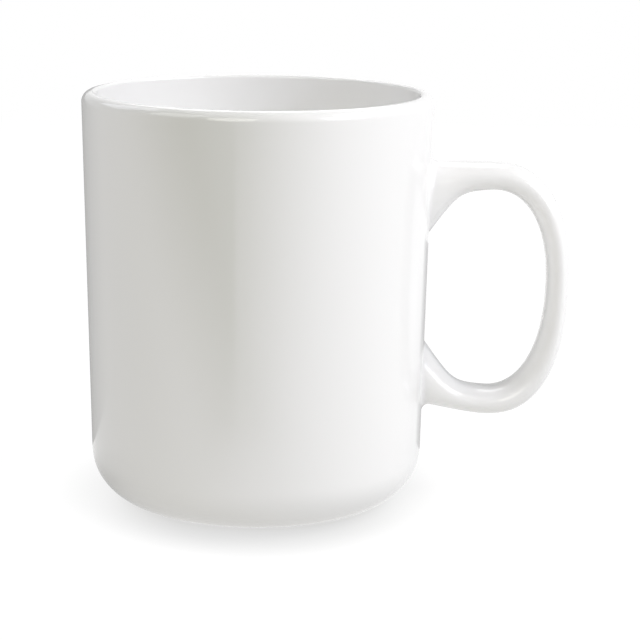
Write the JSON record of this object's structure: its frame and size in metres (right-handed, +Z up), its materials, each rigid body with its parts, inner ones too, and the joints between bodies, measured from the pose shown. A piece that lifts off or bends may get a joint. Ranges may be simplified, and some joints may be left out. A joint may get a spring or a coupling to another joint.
{
  "type": "mug",
  "caption": "Glazed ceramic mug with a tapered straight-sided cup, rounded foot corner and a strap handle joined to the wall with slip.",
  "frame": {"origin": "on the cup's axis at the plane of the ring it stands on", "axes": "+Z up through the mouth, +X towards the handle, Y across the handle"},
  "size_m": [0.1151, 0.082, 0.0964],
  "materials": {
    "fired_clay": "bare fired white clay, matt",
    "fired_slip": "bare fired slip, matt",
    "white_glaze": "glossy white glaze"
  },
  "bodies": {
    "root": {"cup_body": "fired_clay", "handle": "fired_clay", "upper_slip_joint": "fired_slip", "lower_slip_joint": "fired_slip", "outside_glaze": "white_glaze", "inside_glaze": "white_glaze", "underside_glaze": "white_glaze"}
  },
  "joints": []
}
